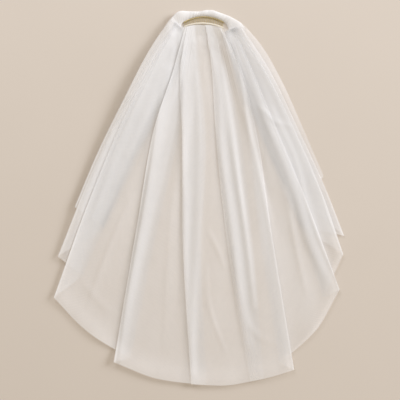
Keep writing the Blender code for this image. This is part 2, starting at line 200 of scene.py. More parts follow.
# How wide the soft edge of each kind of fold is: at the comb, and more for each millimetre from it.
SOFT_EDGE = {"turn": (2.5, 0.010), "tuck": (4.0, 0.035)}
FAR_FROM_FOLD = 4.0
LOWEST = 0.1
MAP_STEP = 260.0

# How plainly each turn shows at the comb, half way down and at the hem, from nought to one.
SHOWN = {
    "left_outer": (0.0, 0.15, 0.7),
    "left_second": (0.0, 0.15, 0.7),
    "left_first": (0.0, 0.3, 0.8),
    "a_upper": (0.1, 0.8, 0.8),
    "b_upper": (0.4, 0.4, 0.3),
    "c_upper": (0.4, 0.3, 0.0),
    "d_upper": (0.1, 0.35, 0.5),
    "right_first": (0.0, 0.35, 0.6),
    "right_second": (0.0, 0.3, 0.8),
    "right_third": (0.0, 0.2, 0.7),
}

# Turns that fade out like a tuck where they don't show, and how fast showing stops the fade.
FADING_TURNS = ("left_second", "left_first", "b_upper", "c_upper", "d_upper", "right_first", "right_second")
FADE_STOP = 1.5

# A fold that shows is a soft roll: its height, and its half width at the comb and beyond.
ROLL_HEIGHT = 0.75
ROLL_NEAR = 2.0
ROLL_GROWTH = 0.012

# The net lifts over the ends of the head gathers: its height, its half width, and the two seams
# in thousandths of the drop.
SEAM_LIFT = 3.2
SEAM_REACH = 26.0
SEAMS = (((-93, -17), (-52, 26)), ((112, -2), (53, 28)))
# Beyond the tape's ends the net's top edge fades out: how wide, how far out it starts, how softly.
SEAM_SOFT = 18.0
SEAM_EDGE = 34.0
SEAM_EASE = 8.0

# Where the layers are sewn down, their heights are drawn together and the net is crowded.
PINCH_REACH = 60.0
PINCH_KEPT = 0.22
PINCH_STEPS = 24
STANDING_START = 36.0
CROWD_REACH = 60.0
CROWD_COVER = 0.10

# How much of the light each layer of net stops.
THREAD_COVER = 0.46
HOLE_COVER = 0.40
TURN_COVER = 0.26
TUCK_COVER = 0.25
CLOUD_COVER = 0.03
CLOUDS_A_METRE = 14.0
NOISE_SPAN = (0.3, 0.7)
# The mesh is three waves summed: high in the middle of a hole, low on the threads round it.
MESH_PITCH = 2.4
MESH_TURNS = (0.0, 60.0, 120.0)
THREAD_SUM = -1.0
HOLE_SUM = 0.4

# The head gathers, above the comb: their outer edge and shoulders in thousandths of the drop.
HEAD_OUTER = (
    (-98, 4),
    (-86, -17),
    (-72, -29),
    (-39, -32),
    (-11, -32),
    (6, -35),
    (25, -35),
    (39, -30),
    (61, -22),
    (86, -10),
    (106, 3),
    (118, 22),
)
HEAD_SHOULDERS = ((-70, 50), (78, 56))
HEAD_SPARE = 1.9
HEAD_STEPS = 300
HEAD_INNER_STEPS = 9
# Ruffles: their count and height, how far and how often they drift, and how their strength swings.
HEAD_RUFFLES = 29
HEAD_RUFFLE = 0.35
RUFFLE_DRIFT = 1.6
RUFFLE_DRIFTS = 5.0
RUFFLE_KEPT = 0.6
RUFFLE_SWING = 0.4
RUFFLE_SWINGS = 3.0
RUFFLE_START = 0.4
# Puffs between them, in the same way.
HEAD_PUFFS = 7
HEAD_PUFF = 1.2
HEAD_PUFF_DRIFT = 1.3
HEAD_PUFF_DRIFTS = 2.0
HEAD_PUFF_START = 0.6
# Their height at the middle and at the ends, and how the ends run out.
HEAD_HEIGHT = 6.2
HEAD_END_SHARE = 0.75
HEAD_END = 0.26
HEAD_END_KEPT = 0.06
HEAD_BASE = 0.15
HEAD_SOFT_END = 0.1
HEAD_COVER = 0.30
# Columns: share of the way from the comb to the outer edge, share of the height, share of the ruffle.
HEAD_PROFILE = (
    (0.00, 0.02, 0.0),
    (0.55, 0.02, 0.0),
    (0.93, 0.12, 0.2),
    (1.00, 0.38, 0.3),
    (0.97, 0.66, 0.4),
    (0.84, 0.88, 0.5),
    (0.62, 1.00, 0.6),
    (0.38, 0.96, 0.8),
    (0.16, 0.78, 1.0),
    (0.02, 0.50, 1.0),
)

# How often each grid's squares are halved.
NET_LEVELS = 2
HEAD_LEVELS = 1
TAPE_LEVELS = 1

# Stitches and thread.
THREAD_RADIUS = 0.2
STITCH_SIDES = 6
STITCH_STEPS = 6
WHIP_COUNT = 34
WHIP_LENGTH = 4.2
WHIP_TOP = 0.2
WHIP_LEAN = 1.2
WHIP_ARCH = 1.4
WHIP_BASE = 0.3
WHIP_END = 1.0
LASHING_STEPS = 12
LASHING_RADIUS = 1.42
LASHING_LEAN = 0.5
LASHING_LIFT = 0.3

# The woven tape.
TAPE_THICK = 0.5
TAPE_STEPS = 96
TAPE_SPARE = 0.6
TAPE_EDGE_GAP = 0.8
# Columns: share of the tape's width, height above its middle level.
TAPE_SECTION = ((0.5, -0.1), (0.25, 0.05), (0.0, 0.1), (-0.25, 0.05), (-0.5, -0.1))

# Patterns in millimetres: spacing or grain, and depth. A Wave texture has 20 radians a metre.
RIB_PITCH = 0.8
RIB_DEPTH = 0.12
WAVE_RADIANS = 20.0
FIBRE_GRAIN = 0.5
FIBRE_DEPTH = 0.05
WIRE_GRAIN = 1.5
WIRE_DRAW = 0.12
WIRE_ROUGHNESS = (0.4, 0.6)
COAT_CLOUDS_A_METRE = 5.0

# Floor, camera and lights, in metres and watts.
FLOOR_SIDE = 6.0
FLOOR_LEVEL = -0.0002
CAMERA_HEIGHT = 2.6
FRAME_WIDTH = 0.842
FRAME_CENTRE = (0.0021, -0.0053)
SENSOR = 36.0
KEY_PLACE = (6.60, 2.80, 3.40)
KEY_SIZE = 3.3
KEY_POWER = 545.0
TOP_PLACE = (-0.80, 2.40, 2.00)
TOP_SIZE = 1.6
TOP_POWER = 36.0
LAMP_TINT = "F0F5FF"
ROOM_TINT = "FFF0D8"
ROOM_STRENGTH = 0.465

# Colours as sRGB hex.
NET_WHITE = "FDFCFC"
TAPE_CREAM = "F0EADD"
# The tape's darker tone, laid in the grooves between its ribs, is painted shade.
TAPE_PAINTED_GROOVE_SHADE = "E4DBC8"
THREAD_CREAM = "F3EEE2"
THREAD_SHADE = "E6DECC"
COMB_GOLD = "EBDCA8"
COMB_BROWN = "B8A26A"
FLOOR_BEIGE = "DBD1C6"
FLOOR_SHADE = "D8CEC3"


def linear(code):
    """An sRGB hex colour as linear red, green, blue and a full alpha."""
    parts = [int(code[k:k + 2], 16) / 255.0 for k in (0, 2, 4)]
    return (*[p / 12.92 if p <= 0.04045 else ((p + 0.055) / 1.055) ** 2.4 for p in parts], 1.0)


def add_node(material, kind, settings=(), links=()):
    """A node with its settings, fed by the given outputs."""
    made = material.node_tree.nodes.new(kind)
    for name, value in dict(settings).items():
        if isinstance(name, str) and hasattr(made, name):
            setattr(made, name, value)
        else:
            made.inputs[name].default_value = value
    for name, source in dict(links).items():
        material.node_tree.links.new(source, made.inputs[name])
    return made


def new_material(name, settings):
    """A material and its shader, with the shader's own settings."""
    made = bpy.data.materials.new(name)
    made.use_nodes = True
    shader = made.node_tree.nodes["Principled BSDF"]
    for key, value in settings.items():
        shader.inputs[key].default_value = value
    return made, shader


def through(places, count, crowding=1.0):
    """Points along a smooth line through the given places, closer together at its start."""
    places = np.array(places, float)
    steps = np.linalg.norm(np.diff(places, axis=0), axis=1)
    knots = np.concatenate([[0.0], np.cumsum(steps)])
    slopes = np.gradient(places, knots, axis=0)
    fine = np.linspace(0.0, knots[-1], SMOOTH * len(places))
    index = np.clip(np.searchsorted(knots, fine, side="right") - 1, 0, len(places) - 2)
    width = (knots[index + 1] - knots[index])[:, None]
    share = (fine - knots[index])[:, None] / width
    line = (
        (2 * share**3 - 3 * share**2 + 1) * places[index]
        + (share**3 - 2 * share**2 + share) * width * slopes[index]
        + (3 * share**2 - 2 * share**3) * places[index + 1]
        + (share**3 - share**2) * width * slopes[index + 1]
    )
    run = np.concatenate([[0.0], np.cumsum(np.linalg.norm(np.diff(line, axis=0), axis=1))])
    wanted = run[-1] * np.linspace(0.0, 1.0, count) ** crowding
    return np.column_stack([np.interp(wanted, run, line[:, axis]) for axis in range(2)])


def on_surface(places):
    """Thousandths of the drop turned into millimetres on the surface."""
    places = np.array(places, float) / PLACE_UNITS * DROP
    return np.column_stack([GATHER_X + places[:, 0], GATHER_Y - places[:, 1]])


def up_to_tape(places):
    """A fold line's places with the first one moved up beside the tape, where it lies below it."""
    edge = comb_line(TAPE_DROP + TAPE_WIDTH / 2.0 + TAPE_EDGE_GAP, TAPE_RISE, TAPE_LEAN, PINCH_STEPS)
    if edge[0, 0] < places[0, 0] < edge[-1, 0]:
        places[0, 1] = np.interp(places[0, 0], edge[:, 0], edge[:, 1])
    return places


def stretches():
    """The stretches of net between two turns, each a list of fold lines."""
    lines = []
    for name, kind, *places in FOLD_LINES:
        lines.append((name, kind, through(up_to_tape(on_surface(places)), ROWS + 1, ROW_CROWDING)))
    found = []
    held = [lines[0]]
    for line in lines[1:]:
        held.append(line)
        if line[1] != "open":
            found.append(held)
            held = [line]
    return found


def across(stretch, row, count):
    """Places on one row of a stretch, from its first fold line to its last."""
    return through([line[2][row] for line in stretch], count)


def outline(stretch):
    """The edge of a stretch all the way round."""
    first, last = stretch[0][2], stretch[-1][2]
    comb_edge = across(stretch, 0, COMB_EDGE_STEPS)[1:-1]
    hem_edge = across(stretch, ROWS, HEM_EDGE_STEPS)[1:-1]
    return np.concatenate([first, hem_edge, last[::-1], comb_edge[::-1]])


def distance_outside(places, ring):
    """How far each place lies outside a closed outline, nought inside it."""
    run = np.roll(ring, -1, axis=0) - ring
    end_y = np.roll(ring[:, 1], -1)
    length = np.maximum((run**2).sum(1), TINY)
    gap = places[:, None, :] - ring[None]
    share = np.clip((gap * run[None]).sum(2) / length[None], 0.0, 1.0)
    nearest = np.linalg.norm(gap - share[..., None] * run[None], axis=2).min(1)
    above_start = ring[:, 1][None] > places[:, 1][:, None]
    above_end = end_y[None] > places[:, 1][:, None]
    slope = np.where(np.abs(run[:, 1]) < TINY, TINY, run[:, 1])
    crossing = ring[:, 0][None] + gap[..., 1] * (run[:, 0] / slope)[None]
    inside = ((above_start != above_end) & (places[:, 0][:, None] < crossing)).sum(1) % 2 == 1
    return np.where(inside, 0.0, nearest)


def eased(share):
    """A share held between nought and one, with a soft start and end."""
    share = np.clip(share, 0.0, 1.0)
    return share * share * (3.0 - 2.0 * share)


def reach_of(places):
    """How far each place lies from the middle of the gathering."""
    return np.hypot(places[:, 0] - GATHER_X, places[:, 1] - GATHER_Y)


def resting(places, ring):
    """One over a layer, easing to nought a short way past its edge."""
    reach = reach_of(places)
    shelf = SHELF_NEAR + SHELF_GROWTH * reach
    ease = EASE_NEAR + EASE_GROWTH * reach
    return eased((shelf + ease - distance_outside(places, ring)) / ease)


def comb_line(drop, rise, lean, count, spare=0.0):
    """An arc across the comb, its ends below its middle by the rise."""
    half = COMB_WIDTH / 2.0 - spare
    radius = (half**2 + rise**2) / (2.0 * rise)
    side = np.linspace(-half, half, count)
    fall = radius - np.sqrt(radius**2 - side**2)
    down = SPINE_TOP - drop - fall - lean * side / half
    return np.column_stack([GATHER_X + COMB_SHIFT + side, GATHER_Y + down])


def comb_outline():
    """The ground that the net clears where it lies over the comb."""
    spine = comb_line(-2.0 * SPINE_RADIUS, COMB_RISE, 0.0, COMB_RING_STEPS, -COMB_CLEAR)
    tips = comb_line(TOOTH_LENGTH + TIP_CLEAR, COMB_RISE, 0.0, COMB_RING_STEPS, -COMB_CLEAR)
    return np.concatenate([spine, tips[::-1]])


def top_of(found):
    """Which stretch lies on top of all the others."""
    return [k for k, stretch in enumerate(found) if TOP_STRETCH in [line[0] for line in stretch]][0]


def layers_under(found):
    """For each stretch, the stretches that lie under it."""
    top = top_of(found)
    left = [list(range(0, k)) for k in range(0, top)]
    right = [list(range(k + 1, len(found))) for k in range(top + 1, len(found))]
    all_others = list(range(0, top)) + list(range(top + 1, len(found)))
    return left + [all_others] + right


def height(places, under, rings, comb_ring):
    """How high the net lies over the layers and the comb beneath it."""
    level = np.full(len(places), BASE)
    for k in under:
        level += LAYER_RISE * resting(places, rings[k])
    return level + OVER_COMB * resting(places, comb_ring)


def rolled_ends(found):
    """For each stretch, whether its first and its last fold lie on top and show."""
    top = top_of(found)
    ends = []
    for k, stretch in enumerate(found):
        first = k <= top and stretch[0][1] == "turn"
        last = k >= top and stretch[-1][1] == "turn"
        ends.append((first, last))
    return ends


def shown(line, row):
    """How plainly a fold line shows on one of the rows."""
    return float(np.interp(row / ROWS, (0.0, 0.5, 1.0), SHOWN.get(line[0], (0.0, 0.0, 0.0))))


def row_places(stretch, row, under, rings, comb_ring, rolled):
    """One row of a stretch, its columns drawn together where the net climbs or falls."""
    fine = across(stretch, row, FINE)
    run = np.concatenate([[0.0], np.cumsum(np.linalg.norm(np.diff(fine, axis=0), axis=1))])
    half = ROLL_NEAR + ROLL_GROWTH * reach_of(fine)
    rise = height(fine, under, rings, comb_ring)
    for on_top, line, gap in zip(rolled, (stretch[0], stretch[-1]), (run, run[-1] - run)):
        if on_top:
            rise = rise + ROLL_HEIGHT * shown(line, row) * np.exp(-((gap / half) ** 2))
    climb = np.concatenate([[0.0], np.cumsum(np.abs(np.diff(rise)))])
    start = 0.0 if stretch[0][1] == "cut" else TURN_RADIUS
    stop = run[-1] - (0.0 if stretch[-1][1] == "cut" else TURN_RADIUS)
    weight = run / run[-1] + climb / LAYER_RISE
    ends = np.interp([start, stop], run, weight)
    count = OPEN_COLUMNS if len(stretch) > 2 else PLAIN_COLUMNS
    wanted = np.interp(np.linspace(ends[0], ends[1], count), weight, run)
    plan = np.column_stack([np.interp(wanted, run, fine[:, axis]) for axis in range(2)])
    return np.column_stack([plan, np.interp(wanted, run, rise)])


def corner_order(grid):
    """The corners of the two halves of every square of a grid, as places in its flattened list."""
    index = np.arange(grid.shape[0] * grid.shape[1]).reshape(grid.shape[:2])
    a, b, c, d = index[:-1, :-1], index[1:, :-1], index[1:, 1:], index[:-1, 1:]
    halves = [np.stack(half, axis=-1).reshape(-1, 3) for half in ((a, b, c), (a, c, d))]
    return np.concatenate(halves)


def shares_on(places, corners):
    """Where each place falls in each triangle seen from above: a mask and the corner shares."""
    first = corners[:, 0, :2]
    side = corners[:, 1, :2] - first
    other = corners[:, 2, :2] - first
    gap = places[:, None, :2] - first[None]
    area = side[:, 0] * other[:, 1] - side[:, 1] * other[:, 0]
    area = np.where(np.abs(area) < TINY, np.inf, area)
    along = (gap[..., 0] * other[None, :, 1] - gap[..., 1] * other[None, :, 0]) / area[None]
    aside = (side[None, :, 0] * gap[..., 1] - side[None, :, 1] * gap[..., 0]) / area[None]
    mask = (along >= 0.0) & (aside >= 0.0) & (along + aside <= 1.0) & np.isfinite(area)[None]
    return mask, np.stack([1.0 - along - aside, along, aside], axis=-1)


def between(grid):
    """The places of a grid with the middles of its edges and squares."""
    down = (grid[1:] + grid[:-1]) / 2.0
    side = (grid[:, 1:] + grid[:, :-1]) / 2.0
    middle = (down[:, 1:] + down[:, :-1]) / 2.0
    return np.concatenate([part.reshape(-1, 3) for part in (grid, down, side, middle)])


def clear_rise(places):
    """The rise from one layer to the next, more where the net is steep beside the comb."""
    return CLEAR_RISE + CLEAR_STEEP * np.clip(1.0 - reach_of(places) / STEEP_REACH, 0.0, 1.0)


def lift_over(upper, lower):
    """Raise one stretch wherever it comes too near to a stretch beneath it."""
    order = corner_order(upper)
    ground = lower.reshape(-1, 3)[corner_order(lower)]
    for _ in range(LIFT_PASSES):
        flat = upper.reshape(-1, 3)
        mask, share = shares_on(flat, ground)
        level = np.where(mask, (share * ground[None, :, :, 2]).sum(2), -np.inf).max(1)
        flat[:, 2] = np.maximum(flat[:, 2], level + clear_rise(flat))
        seen = between(lower)
        mask, share = shares_on(seen, flat[order])
        level = (share * flat[order][None, :, :, 2]).sum(2)
        short = np.where(mask, (seen[:, 2] + clear_rise(seen))[:, None] - level, 0.0).max(0)
        rise = np.zeros(len(flat))
        np.maximum.at(rise, order.ravel(), np.repeat(np.maximum(short, 0.0), 3))
        flat[:, 2] += rise
        upper = flat.reshape(upper.shape)
    return upper


def settle(parts, order):
    """Lift every stretch clear of those under it, the lowest first."""
    for k in sorted(range(len(parts)), key=lambda k: len(order[k])):
        for under in sorted(order[k], key=lambda j: len(order[j])):
            parts[k] = lift_over(parts[k], parts[under])
    return parts


def faded(line):
    """How far a turn falls short of showing, row by row."""
    return np.array([1.0 - shown(line, row) for row in range(ROWS + 1)])


def fade_end(line):
    """How far a turn that fades out is from fading, row by row, in soft widths."""
    return FADE_STOP * (1.0 - faded(line))[:, None]


def from_seam(part):
    """How far each place lies from the head gathers' seam beyond the tape, in soft widths."""
    step = np.linalg.norm(np.diff(part[:, :, :2], axis=0), axis=2)
    run = np.concatenate([np.zeros((1, part.shape[1])), np.cumsum(step, axis=0)], axis=0)
    aside = np.abs(part[0, :, 0] - GATHER_X - COMB_SHIFT)
    beside_tape = np.clip((SEAM_EDGE + SEAM_EASE - aside) / SEAM_EASE, 0.0, 1.0)
    return run / SEAM_SOFT + FAR_FROM_FOLD * beside_tape


def beside_folds(part, stretch):
    """How far each place of a stretch lies from its turn and from its tuck, in soft widths."""
    step = np.linalg.norm(np.diff(part[:, :, :2], axis=1), axis=2)
    run = np.concatenate([np.zeros((len(part), 1)), np.cumsum(step, axis=1)], axis=1) + TURN_RADIUS
    back = run[:, -1:] + TURN_RADIUS - run
    reach = reach_of(part.reshape(-1, 3)).reshape(run.shape)
    gaps = {kind: np.full(run.shape, FAR_FROM_FOLD) for kind in SOFT_EDGE}
    for line, gap in ((stretch[0], run), (stretch[-1], back)):
        if line[1] in gaps:
            near, growth = SOFT_EDGE[line[1]]
            gap = gap / (near + growth * reach)
            if line[1] == "turn":
                gap = gap + faded(line)[:, None]
            gaps[line[1]] = np.minimum(gaps[line[1]], gap)
        if line[0] in FADING_TURNS:
            near, growth = SOFT_EDGE["tuck"]
            beside = (run if line is stretch[0] else back) / (near + growth * reach)
            gaps["tuck"] = np.minimum(gaps["tuck"], beside + fade_end(line))
    gaps["tuck"] = np.minimum(gaps["tuck"], from_seam(part))
    return gaps


def net_grid():
    """The net's rows of places, its distances from folds, and the stretch of each column's face."""
    found = stretches()
    rings = [outline(stretch) for stretch in found]
    order = layers_under(found)
    comb_ring = comb_outline()
    rolls = rolled_ends(found)
    parts = []
    for k, stretch in enumerate(found):
        rows = [row_places(stretch, row, order[k], rings, comb_ring, rolls[k]) for row in range(ROWS + 1)]
        parts.append(np.array(rows))
    parts = settle(parts, order)
    gaps = [beside_folds(part, stretch) for part, stretch in zip(parts, found)]
    grid = [parts[0]]
    values = {kind: [gaps[0][kind]] for kind in SOFT_EDGE}
    owner = [0] * parts[0].shape[1]
    for k in range(1, len(parts)):
        middle = (parts[k - 1][:, -1, 2] + parts[k][:, 0, 2]) / 2.0
        grid += [np.column_stack([found[k][0][2], middle])[:, None, :], parts[k]]
        for kind in SOFT_EDGE:
            mean = (gaps[k - 1][kind][:, -1:] + gaps[k][kind][:, :1]) / 2.0
            if found[k][0][1] == kind:
                mean = faded(found[k][0])[:, None] if kind == "turn" else np.zeros_like(mean)
            elif found[k][0][0] in FADING_TURNS:
                mean = fade_end(found[k][0])
            values[kind] += [mean, gaps[k][kind]]
        owner += [k] * (1 + parts[k].shape[1])
    joined = {kind: np.concatenate(values[kind], axis=1) for kind in SOFT_EDGE}
    return np.concatenate(grid, axis=1), joined, np.array(owner)


def cloth_map(grid, owner):
    """Distances along and across each stretch, measured from its middle, for the net's mesh."""
    wide = np.linalg.norm(np.diff(grid, axis=1), axis=2)
    along = np.linalg.norm(np.diff(grid, axis=0), axis=2)
    side = np.concatenate([np.zeros((len(grid), 1)), np.cumsum(wide, axis=1)], axis=1)
    up = np.concatenate([np.cumsum(along[::-1], axis=0)[::-1], np.zeros((1, grid.shape[1]))], axis=0)
    middles = {}
    for k in np.unique(owner):
        columns = np.flatnonzero(owner == k)
        middles[k] = (side[:, columns[0]] + side[:, columns[-1]]) / 2.0 - k * MAP_STEP
    return side, up, middles


def sheet_from(name, grid, values, owner):
    """A sheet of cloth through rows of places, with its cloth map and its values at each place."""
    rows, columns = grid.shape[:2]
    side, up, middles = cloth_map(grid, owner)
    made = bmesh.new()
    cloth = made.loops.layers.uv.new("cloth")
    layers = {kind: made.verts.layers.float.new(kind) for kind in values}
    bmesh.ops.create_grid(made, x_segments=columns - 1, y_segments=rows - 1, size=0.5)
    place_of = {}
    for vertex in made.verts:
        column = round((vertex.co.x + 0.5) * (columns - 1))
        row = round((0.5 - vertex.co.y) * (rows - 1))
        place_of[vertex] = (row, column)
        for kind, layer in layers.items():
            vertex[layer] = float(values[kind][row, column])
    for face in made.faces:
        held = owner[max(place_of[vertex][1] for vertex in face.verts)]
        for loop in face.loops:
            row, column = place_of[loop.vert]
            loop[cloth].uv = ((side[row, column] - middles[held][row]) * MM, up[row, column] * MM)
    for vertex, (row, column) in place_of.items():
        vertex.co = Vector(grid[row, column]) * MM
    return object_from(name, made)


def placed(name, mesh):
    """A mesh as a smooth-shaded object in the scene."""
    for face in mesh.polygons:
        face.use_smooth = True
    piece = bpy.data.objects.new(name, mesh)
    bpy.context.scene.collection.objects.link(piece)
    return piece


def object_from(name, made):
    """A finished bmesh as a smooth-shaded object in the scene."""
    mesh = bpy.data.meshes.new(name)
    made.to_mesh(mesh)
    made.free()
    return placed(name, mesh)


def subdivided(piece, levels):
    """The piece with a subdivision of the given levels made real."""
    finer = piece.modifiers.new("finer", "SUBSURF")
    finer.levels = levels
    finer.render_levels = levels
    state = bpy.context.evaluated_depsgraph_get()
    seen = piece.evaluated_get(state)
    mesh = bpy.data.meshes.new_from_object(seen, preserve_all_data_layers=True, depsgraph=state)
    piece.modifiers.clear()
    piece.data = mesh
    return piece


def places_of(piece):
    """A piece's points in millimetres."""
    flat = np.empty(3 * len(piece.data.vertices))
    piece.data.vertices.foreach_get("co", flat)
    return flat.reshape(-1, 3) / MM


def put_places(piece, places):
    """Move a piece's points to places in millimetres."""
    piece.data.vertices.foreach_set("co", (places * MM).ravel())
    piece.data.update()


def beside_line(places, line):
    """Each place's signed distance across a line, right of it plus, and its share of the way along."""
    start, run = line[:-1], np.diff(line, axis=0)
    length = (run**2).sum(1)
    gap = places[:, None, :2] - start[None]
    share = np.clip((gap * run[None]).sum(2) / length[None], 0.0, 1.0)
    off = gap - share[..., None] * run[None]
    far = np.linalg.norm(off, axis=2)
    nearest = far.argmin(1)
    pick = np.arange(len(places))
    turn = run[nearest, 0] * off[pick, nearest, 1] - run[nearest, 1] * off[pick, nearest, 0]
    along = (nearest + share[pick, nearest]) / len(run)
    return np.sign(turn) * far[pick, nearest], along


def crease_form(places):
    """How far the creases raise the net at each place, and how much cover they add: partly crowded net,
    partly a painted highlight on their ridges.
    """
    lift = np.zeros(len(places))
    cover = np.zeros(len(places))
    size = np.clip(CREASE_NEAR + reach_of(places) / CREASE_GROWTH, 0.0, 1.0)
    for left, right, rise, cover_and_highlight, spots in CREASES:
        across_gap, along = beside_line(places, through(on_surface(spots), CREASE_STEPS))
        half = np.where(across_gap > 0.0, right, left) * size
        taper = np.sin(np.pi * np.clip(along * CREASE_SPAN + CREASE_START, 0.0, 1.0)) ** CREASE_BLUNT
        form = taper * np.exp(-((across_gap / half) ** 2))
        lift += rise * size * form
        cover += cover_and_highlight * form
    return lift, cover


def fan_turn(places):
    """Which way each place lies from the fan point, nought straight down and plus to the right."""
    return (places[:, 0] - GATHER_X) / (FAN_POINT_Y - places[:, 1])


def gather_form(places):
    """Small radiating gathers that fade away from the comb."""
    reach = reach_of(places)
    turn = fan_turn(places)
    wave = sum(strong * np.sin(turn * GATHER_FOLDS * rate + start) for rate, strong, start in GATHER_WAVES)
    fade = np.exp(-((reach / GATHER_REACH) ** 2)) * np.clip(reach / GATHER_START, 0.0, 1.0)
    return GATHER_DEPTH * fade * (GATHER_MIDDLE + GATHER_SWING * wave)


def from_tape(places):
    """How far each place lies from the middle of the tape."""
    return np.abs(beside_line(places, comb_line(TAPE_DROP, TAPE_RISE, TAPE_LEAN, PINCH_STEPS))[0])


def standing_form(places):
    """The springy upper edges of the net, which stand clear of the surface."""
    lift = np.zeros(len(places))
    for rise, middle, length, turn, half in STANDING:
        along = (reach_of(places) - middle) / length
        aside = (fan_turn(places) - turn) / half
        lift += rise * np.exp(-(along**2) - aside**2)
    return lift * eased(from_tape(places) / STANDING_START)


def seam_form(places):
    """How far the net lifts to pass over the ends of the head gathers."""
    lift = np.zeros(len(places))
    for seam in SEAMS:
        gap, _ = beside_line(places, on_surface(seam))
        lift = np.maximum(lift, SEAM_LIFT * np.exp(-((gap / SEAM_REACH) ** 2)))
    return lift


def puff_form(places):
    """The slow rise and fall of soft net that was laid down by hand."""
    turn = fan_turn(places)
    reach = reach_of(places)
    slow = np.sin(turn * SLOW_WAVE[0] + reach / SLOW_WAVE[1])
    slow = slow * np.cos(turn * SKEW_WAVE[0] - reach / SKEW_WAVE[1] + SKEW_WAVE[2])
    cross = np.sin(reach / CROSS_WAVE[1] + turn * CROSS_WAVE[0]) * np.sin(turn * FAN_WAVE[0] + FAN_WAVE[1])
    full = np.clip(reach / PUFF_REACH, 0.0, 1.0)
    return PUFF_HEIGHT * full * (PUFF_MIDDLE + PUFF_SLOW * slow + PUFF_CROSS * cross)


def pinched(places):
    """Heights with the layers drawn together where they are sewn to the comb."""
    keep = PINCH_KEPT + (1.0 - PINCH_KEPT) * eased(from_tape(places) / PINCH_REACH)
    level = BASE + OVER_COMB * resting(places[:, :2], comb_outline())
    return level + (places[:, 2] - level) * keep


def net_material():
    """Bridal tulle is fine nylon net: white and sheer, with a soft glow where it lies folded."""
    made, shader = new_material("soft_nylon_tulle", {
        "Base Color": linear(NET_WHITE),
        "Roughness": 0.75,
        "Sheen Weight": 0.2,
        "Sheen Roughness": 0.5,
        "Specular IOR Level": 0.2,
    })
    cloth = add_node(made, "ShaderNodeUVMap", {"uv_map": "cloth"}).outputs["UV"]
    # The real holes are 1 mm wide; they are drawn coarser so that they show.
    waves = []
    for degrees in MESH_TURNS:
        turn = math.radians(degrees)
        lean = [way / MESH_PITCH / MM * math.tau for way in (math.cos(turn), math.sin(turn), 0.0)]
        along = add_node(made, "ShaderNodeVectorMath", {"operation": "DOT_PRODUCT", 1: lean}, {0: cloth})
        wave = add_node(made, "ShaderNodeMath", {"operation": "COSINE"}, {0: along.outputs["Value"]})
        waves.append(wave.outputs[0])
    pair = add_node(made, "ShaderNodeMath", {"operation": "ADD"}, {0: waves[0], 1: waves[1]})
    holes = add_node(made, "ShaderNodeMath", {"operation": "ADD"}, {0: pair.outputs[0], 1: waves[2]})
    threads = add_node(
        made,
        "ShaderNodeMapRange",
        {"From Min": THREAD_SUM, "From Max": HOLE_SUM, "To Min": THREAD_COVER, "To Max": HOLE_COVER},
        {"Value": holes.outputs[0]},
    )
    cloudy = add_node(made, "ShaderNodeTexNoise", {"Scale": CLOUDS_A_METRE, "Detail": 3.0}, {"Vector": cloth})
    uneven = add_node(
        made,
        "ShaderNodeMapRange",
        {"From Min": NOISE_SPAN[0], "From Max": NOISE_SPAN[1], "To Min": -CLOUD_COVER, "To Max": CLOUD_COVER},
        {"Value": cloudy.outputs["Fac"]},
    )
    turn = add_node(made, "ShaderNodeAttribute", {"attribute_name": "turn"})
    bright = add_node(
        made,
        "ShaderNodeMapRange",
        {"interpolation_type": "SMOOTHSTEP", "To Min": TURN_COVER, "To Max": 0.0},
        {"Value": turn.outputs["Fac"]},
    )
    tuck = add_node(made, "ShaderNodeAttribute", {"attribute_name": "tuck"})
    fade = add_node(
        made,
        "ShaderNodeMapRange",
        {"interpolation_type": "SMOOTHSTEP", "To Min": TUCK_COVER, "To Max": 1.0},
        {"Value": tuck.outputs["Fac"]},
    )
    crowd_and_highlight = add_node(made, "ShaderNodeAttribute", {"attribute_name": "crowd_and_highlight"})
    # The cover of plain net fades toward a tuck, and a turn, crowded net or the painted highlight along the
    # creases adds to it.
    cover = threads.outputs[0]
    for operation, source in (
        ("ADD", uneven.outputs[0]),
        ("MULTIPLY", fade.outputs[0]),
        ("ADD", bright.outputs[0]),
        ("ADD", crowd_and_highlight.outputs["Fac"]),
    ):
        step = add_node(made, "ShaderNodeMath", {"operation": operation}, {0: cover, 1: source})
        cover = step.outputs[0]
    step.use_clamp = True
    made.node_tree.links.new(cover, shader.inputs["Alpha"])
    return made


def set_values(piece, name, values):
    """A value for each point of a piece, which its material reads."""
    kept = piece.data.attributes.get(name) or piece.data.attributes.new(name, "FLOAT", "POINT")
    kept.data.foreach_set("value", values)


def build_net(tulle):
    """The tier of net, with its creases, gathers and puffs, drawn down where it is sewn."""
    grid, values, owner = net_grid()
    net = subdivided(sheet_from("tulle_net", grid, values, owner), NET_LEVELS)
    places = places_of(net)
    lift, cover = crease_form(places)
    places[:, 2] += lift + gather_form(places) + puff_form(places)
    places[:, 2] = np.maximum(pinched(places) + standing_form(places) + seam_form(places), LOWEST)
    put_places(net, places)
    crowding = np.exp(-((reach_of(places) / CROWD_REACH) ** 2))
    # The creases' cover, partly crowded net and partly painted highlight, joins the net's crowding by the
    # comb.
    set_values(net, "crowd_and_highlight", cover + CROWD_COVER * crowding)
    net.data.materials.append(tulle)
    return net


def swing(share, count, start=0.0):
    """A wave along the head gathers, with so many swings from end to end."""
    return math.sin(math.tau * count * share + start)


